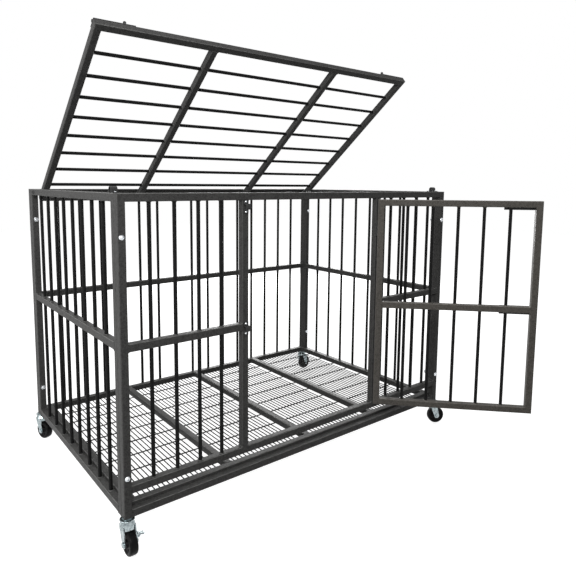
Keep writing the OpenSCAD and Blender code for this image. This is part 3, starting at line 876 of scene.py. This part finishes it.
@dataclass(frozen=True)
class Sizes:
    """The crate's sizes in metres, with the lid and the door closed."""

    half_length: float = 0.610
    half_width: float = 0.390
    foot: float = 0.088
    height: float = 0.782
    tube: float = 0.020
    bar: float = 0.010
    mid_foot: float = 0.410
    sill_foot: float = 0.060
    doorway: float = 0.500
    section_bars: int = 4
    back_bars: int = 15
    end_bars: int = 8
    floor_foot: float = 0.008
    floor_members: int = 5
    bolt_inset: float = 0.101
    lid_side_gap: float = 0.0055
    lid_free_edge: float = 0.032
    lid_back_gap: float = 0.002
    lid_pivot_back: float = 0.060
    lid_cross: float = 0.236
    lid_bars: int = 8
    lid_last_gap: float = 0.055
    door_gap: float = 0.002
    door_foot_gap: float = 0.006
    door_top_gap: float = 0.003
    door_bars: int = 5
    bolt_edge: float = 0.006
    latch_length: float = 0.110
    latch_screws: Span = (0.036, 0.076)
    latch_screw_edge: float = 0.0095
    keeper_screw: float = 0.013
    pivot_play: float = 0.0004
    bolt_spare: float = 0.009
    race_drop: float = 0.0038

    @property
    def top(self) -> float:
        """Top of the panels."""
        return self.foot + self.height

    @property
    def inside(self) -> float:
        """Inner faces of the corner posts from the middle."""
        return self.half_length - self.tube

    @property
    def end_inside(self) -> float:
        """Inner faces of the end stiles from the middle."""
        return self.half_width - 2.0 * self.tube

    @property
    def post(self) -> float:
        """Outer faces of the door posts from the middle."""
        return self.doorway / 2.0 + self.tube

    def levels(self, low: float, high: float) -> tuple[Span, ...]:
        """Foot and top of the bars under and over the mid rails."""
        mid = self.foot + self.mid_foot
        return (low, mid), (mid + self.tube, high)

    def spaced(self, start: float, stop: float, count: int) -> np.ndarray:
        """Middles of bars that leave equal gaps between two faces."""
        gap = (stop - start - count * self.bar) / (count + 1)
        return start + gap + self.bar / 2.0 + np.arange(count) * (gap + self.bar)

    def upright_ends(self, places: Places, xs: np.ndarray, ys: np.ndarray, spans: tuple) -> None:
        """Note both ends of every upright bar at these places."""
        for x, y in zip(xs, ys):
            for low, high in spans:
                places.pair((x, y, low), (x, y, high), X_WAY)

    def crate_bar_ends(self) -> np.ndarray:
        """Ends of the bars in the four panels."""
        found = Places()
        half = self.tube / 2.0
        front = self.levels(self.foot + self.sill_foot + self.tube, self.top - self.tube)
        other = self.levels(self.foot + self.tube, self.top - self.tube)
        left = self.spaced(-self.inside, -self.post, self.section_bars)
        right = self.spaced(self.post, self.inside, self.section_bars)
        across = np.concatenate((left, right))
        self.upright_ends(found, across, np.full(len(across), half - self.half_width), front)
        back = self.spaced(-self.inside, self.inside, self.back_bars)
        self.upright_ends(found, back, np.full(len(back), self.half_width - half), other)
        along = self.spaced(-self.end_inside, self.end_inside, self.end_bars)
        for sign in (-1.0, 1.0):
            self.upright_ends(found, np.full(len(along), sign * (self.half_length - half)), along, other)
        return found.matrices()

    def crate_tube_ends(self) -> np.ndarray:
        """Ends of the rails and posts that are welded between other tubes."""
        found = Places()
        half = self.tube / 2.0
        mid = self.foot + self.mid_foot + half
        base = self.foot + half
        front = half - self.half_width
        for level in (base, self.foot + self.sill_foot + half):
            found.pair((-self.inside, front, level), (self.inside, front, level), Y_WAY)
        for level in (base, mid):
            found.pair((-self.inside, -front, level), (self.inside, -front, level), Y_WAY)
        for sign in (-1.0, 1.0):
            found.pair((sign * self.post, front, mid), (sign * self.inside, front, mid), Y_WAY)
            x = sign * (self.post - half)
            sill_top = self.foot + self.sill_foot + self.tube
            found.pair((x, front, sill_top), (x, front, self.top - self.tube), Y_WAY)
            for level in (base, mid):
                x = sign * (self.half_length - half)
                found.pair((x, -self.end_inside, level), (x, self.end_inside, level), X_WAY)
        floor = self.foot + self.floor_foot + half
        for x in np.linspace(half - self.inside, self.inside - half, self.floor_members):
            found.pair((x, -self.end_inside, floor), (x, self.end_inside, floor), Z_WAY)
        return found.matrices()

    @property
    def lid_low(self) -> float:
        """Free edge of the closed lid."""
        return self.lid_free_edge - self.half_width

    @property
    def lid_depth(self) -> float:
        """Depth of the lid."""
        return self.half_width - self.tube - self.lid_back_gap - self.lid_low

    @property
    def lid_level(self) -> float:
        """Middle of the closed lid's tubes."""
        return self.top - self.tube / 2.0

    def lid_bar_ends(self) -> np.ndarray:
        """Ends of the lid's bars, in three lengths."""
        found = Places()
        side = self.inside - self.lid_side_gap - self.tube
        near = self.lid_cross - self.tube / 2.0
        far = self.lid_cross + self.tube / 2.0
        step = (self.lid_depth - 2.0 * self.tube - self.lid_last_gap) / self.lid_bars
        start = self.lid_low + self.tube - self.bar / 2.0
        for y in start + step * np.arange(1, self.lid_bars + 1):
            for low, high in ((-side, -far), (-near, near), (far, side)):
                found.pair((low, y, self.lid_level), (high, y, self.lid_level), Z_WAY)
        return found.matrices()

    def lid_tube_ends(self) -> np.ndarray:
        """Ends of the lid's cross members."""
        found = Places()
        for x in (-self.lid_cross, self.lid_cross):
            low = (x, self.lid_low + self.tube, self.lid_level)
            found.pair(low, (x, self.lid_low + self.lid_depth - self.tube, self.lid_level), Z_WAY)
        return found.matrices()

    @property
    def door_span(self) -> Span:
        """Foot and top of the closed door."""
        low = self.foot + self.sill_foot + self.tube + self.door_foot_gap
        return low, self.top - self.tube - self.door_top_gap

    @property
    def door_half(self) -> float:
        """Inner faces of the door's stiles from the middle."""
        return self.doorway / 2.0 - self.door_gap - self.tube

    def door_bar_ends(self) -> np.ndarray:
        """Ends of the door's bars."""
        found = Places()
        low, high = self.door_span
        xs = self.spaced(-self.door_half, self.door_half, self.door_bars)
        spans = self.levels(low + self.tube, high - self.tube)
        self.upright_ends(found, xs, np.full(len(xs), self.tube / 2.0 - self.half_width), spans)
        return found.matrices()

    def door_tube_ends(self) -> np.ndarray:
        """Ends of the door's mid rail."""
        found = Places()
        level = self.foot + self.mid_foot + self.tube / 2.0
        y = self.tube / 2.0 - self.half_width
        found.pair((-self.door_half, y, level), (self.door_half, y, level), Y_WAY)
        return found.matrices()

    def corner_bolts(self) -> np.ndarray:
        """Heads of the corner bolts, looking into the crate."""
        found = Places()
        x = self.half_length - self.tube / 2.0
        for sign in (-1.0, 1.0):
            for level in (self.foot + self.bolt_inset, self.top - self.bolt_inset):
                found.put((sign * x, -self.half_width, level), Y_WAY, X_WAY)
                found.put((sign * x, self.half_width, level), -Y_WAY, X_WAY)
        return found.matrices()

    def pivot_bolts(self) -> np.ndarray:
        """Heads of the lid's pivot bolts, looking into the crate."""
        found = Places()
        y = self.half_width - self.lid_pivot_back
        found.put((-self.half_length, y, self.lid_level), X_WAY, Z_WAY)
        found.put((self.half_length, y, self.lid_level), -X_WAY, Z_WAY)
        return found.matrices()

    @property
    def door_latches(self) -> Span:
        """Heights of the door's two sliding bolts."""
        return self.door_span[1] - self.tube + self.bolt_edge, self.foot + self.mid_foot + self.bolt_edge

    @property
    def lid_latch(self) -> float:
        """Y of the lid's sliding bolts; the front of the crate is at negative Y."""
        return self.lid_low + self.tube - self.bolt_edge

    def keeper_screws(self) -> np.ndarray:
        """Screws of the keepers on the latch post and on the end rails."""
        found = Places()
        for way in (-self.keeper_screw, self.keeper_screw):
            for level in self.door_latches:
                found.put((self.tube / 2.0 - self.post, -self.half_width, level + way), -Y_WAY, X_WAY)
            for sign in (-1.0, 1.0):
                x = sign * (self.half_length - self.tube / 2.0)
                found.put((x, self.lid_latch + way, self.top), Z_WAY, X_WAY)
        return found.matrices()

    def lid_latch_screws(self) -> np.ndarray:
        """Screws of the latch plates on the lid."""
        found = Places()
        end = self.inside - self.lid_side_gap - self.latch_length
        y = self.lid_latch - self.latch_screw_edge
        for sign in (-1.0, 1.0):
            for way in self.latch_screws:
                found.put((sign * (end + way), y, self.top), Z_WAY, X_WAY)
        return found.matrices()

    def door_latch_screws(self) -> np.ndarray:
        """Screws of the latch plates on the door."""
        found = Places()
        end = self.door_gap - self.doorway / 2.0 + self.latch_length
        for level in self.door_latches:
            for way in self.latch_screws:
                found.put((end - way, -self.half_width, level + self.latch_screw_edge), -Y_WAY, X_WAY)
        return found.matrices()


@dataclass
class Crate:
    """The whole crate: the finish of each material slot, and the details added to the frame."""

    frame: dict
    sizes: Sizes = Sizes()
    finishes: dict[str, Finish] = field(default_factory=lambda: {
        "tube_coat": TUBE,
        "bar_coat": BAR,
        "hinge_coat": HARDWARE,
        "latch_coat": HARDWARE,
        "fastener_plating": PLATED,
        "caster_plating": CASTER,
        "wheel": RUBBER,
    })

    def joint(self, name: str) -> dict:
        """The record of one joint."""
        return next(j for j in self.frame["joints"] if j["name"] == name)

    def angles(self) -> dict[str, float]:
        """Angle that turns each open hinged body back to its closed place."""
        hinges = [pose.value[1] for pose in (Hinged.LID, Hinged.DOOR)]
        return {name: math.radians(self.joint(name)["range_deg"][0]) for name in hinges}

    def opened(self, places: np.ndarray, hinge: str | None) -> np.ndarray:
        """Carry closed places along with a hinged body to where the frame shows it."""
        if hinge is None:
            return places
        joint = self.joint(hinge)
        centre = Matrix.Translation(joint["pos_m"])
        turn = Matrix.Rotation(-self.angles()[hinge], 4, Vector(joint["axis"]))
        return np.array(centre @ turn @ centre.inverted()) @ places

    def pose_of(self, body: str) -> Hinged:
        """The pose that a body's patterns follow."""
        if "lid" in body:
            return Hinged.LID
        return Hinged.DOOR if "door" in body else Hinged.FIXED

    def finish_of(self, slot: str, pose: Hinged) -> Finish:
        """The finish of a slot; the door's tubes take a paler, warmer copy of the tube coat, which is
        painted light: the door drawn as if it stood in warmer, brighter light.
        """
        return LIT_DOOR_TUBE if slot == "tube_coat" and pose is Hinged.DOOR else self.finishes[slot]

    def add(self, name: str, shape: Surface, places: np.ndarray, body: str, slot: str, *nodes: str) -> None:
        """Make one piece of all the copies of a shape.

        Args:
            name: The piece's name.
            shape: The surface that is repeated.
            places: A matrix for each copy.
            body: The body that it rides on.
            slot: The material slot that it takes.
            nodes: Nodes of the frame that it stands for.
        """
        pose = self.pose_of(body)
        corners, quads = shape.copies(self.opened(places, pose.value[1]))
        mesh = bpy.data.meshes.new(name)
        mesh.from_pydata(corners.tolist(), [], quads.tolist())
        work = bmesh.new()
        work.from_mesh(mesh)
        bmesh.ops.remove_doubles(work, verts=work.verts, dist=MERGE_WITHIN)
        bmesh.ops.recalc_face_normals(work, faces=work.faces)
        work.to_mesh(mesh)
        work.free()
        mesh.shade_smooth()
        mesh.set_sharp_from_angle(angle=SHARP_FROM)
        mesh.materials.append(self.finish_of(slot, pose).material(pose, self.angles()))
        piece = bpy.data.objects.new(name, mesh)
        bpy.context.scene.collection.objects.link(piece)
        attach(piece, body)
        if nodes:
            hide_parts(*nodes)
        LOG.info("%s: %d copies, %d faces", name, len(places), len(mesh.polygons))

    def dress(self) -> None:
        """Give every node of the frame the finish of its slot."""
        angles = self.angles()
        slots = {n["node"]: n["material_slot"] for n in self.frame["record"]["subparts"]}
        for name, piece in self.frame["nodes"].items():
            pose = self.pose_of(piece["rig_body"])
            material = self.finish_of(slots[name], pose).material(pose, angles)
            for place in piece.material_slots:
                place.material = material
            LOG.info("%s takes %s", name, material.name)

    def add_welds(self) -> None:
        """Fillets at the bars' ends and beads at the tubes' ends."""
        ends = {
            "crate": (self.sizes.crate_bar_ends(), self.sizes.crate_tube_ends()),
            "lid": (self.sizes.lid_bar_ends(), self.sizes.lid_tube_ends()),
            "door": (self.sizes.door_bar_ends(), self.sizes.door_tube_ends()),
        }
        for body, (bars, tubes) in ends.items():
            self.add(f"{body}_bar_welds", BarWeld().surface(), bars, body, "tube_coat")
            self.add(f"{body}_tube_welds", TubeWeld().surface(), tubes, body, "tube_coat")

    def add_fasteners(self) -> None:
        """Bolts, nuts and screws in place of the frame's plain ones."""
        grip = 2.0 * self.sizes.tube
        turn = grip + self.sizes.lid_side_gap + self.sizes.pivot_play
        sets = (
            ("corner", self.sizes.corner_bolts(), grip, "fastener_plating"),
            ("lid_pivot", self.sizes.pivot_bolts(), turn, "hinge_coat"),
        )
        for kind, places, reach, slot in sets:
            bolt = Bolt().surface(reach + self.sizes.bolt_spare)
            self.add(f"{kind}_round_bolts", bolt, places, "crate", slot, f"{kind}_bolts")
            self.add(f"{kind}_hex_nuts", Nut().surface(reach), places, "crate", slot, f"{kind}_nuts")
        screws = {
            "crate": ("keeper_screws", self.sizes.keeper_screws()),
            "lid": ("lid_latch_screws", self.sizes.lid_latch_screws()),
            "door": ("door_latch_screws", self.sizes.door_latch_screws()),
        }
        for body, (node, places) in screws.items():
            self.add(f"{node}_cross", Screw().surface(), places, body, "fastener_plating", node)

    def add_casters(self) -> None:
        """Moulded wheels on their axles and a rolled lip over each fork."""
        swivels = Places()
        for corner in CORNERS:
            roll = self.joint(f"roll_{corner}")
            axle = np.array(roll["axis"])
            spot = placing(np.array([roll["pos_m"]]), axle[None], Z_WAY[None])
            name, body = f"moulded_wheel_{corner}", f"wheel_body_{corner}"
            self.add(name, Wheel().surface(), spot, body, "wheel", f"wheel_{corner}")
            x, y, _ = self.joint(f"swivel_{corner}")["pos_m"]
            swivels.put((x, y, 0.0), Z_WAY, X_WAY)
        lip = RaceRing().surface(self.sizes.foot - self.sizes.race_drop)
        self.add("caster_race_lips", lip, swivels.matrices(), "crate", "caster_plating")


def main() -> None:
    """Load the frame, dress it, add its details, and set up the studio and the camera."""
    logging.basicConfig(level=logging.INFO, format="%(name)s: %(message)s")
    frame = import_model()
    crate = Crate(frame)
    crate.dress()
    crate.add_welds()
    crate.add_fasteners()
    crate.add_casters()
    Studio().build()
    PhotoCamera().build()


if __name__ == "__main__":
    main()
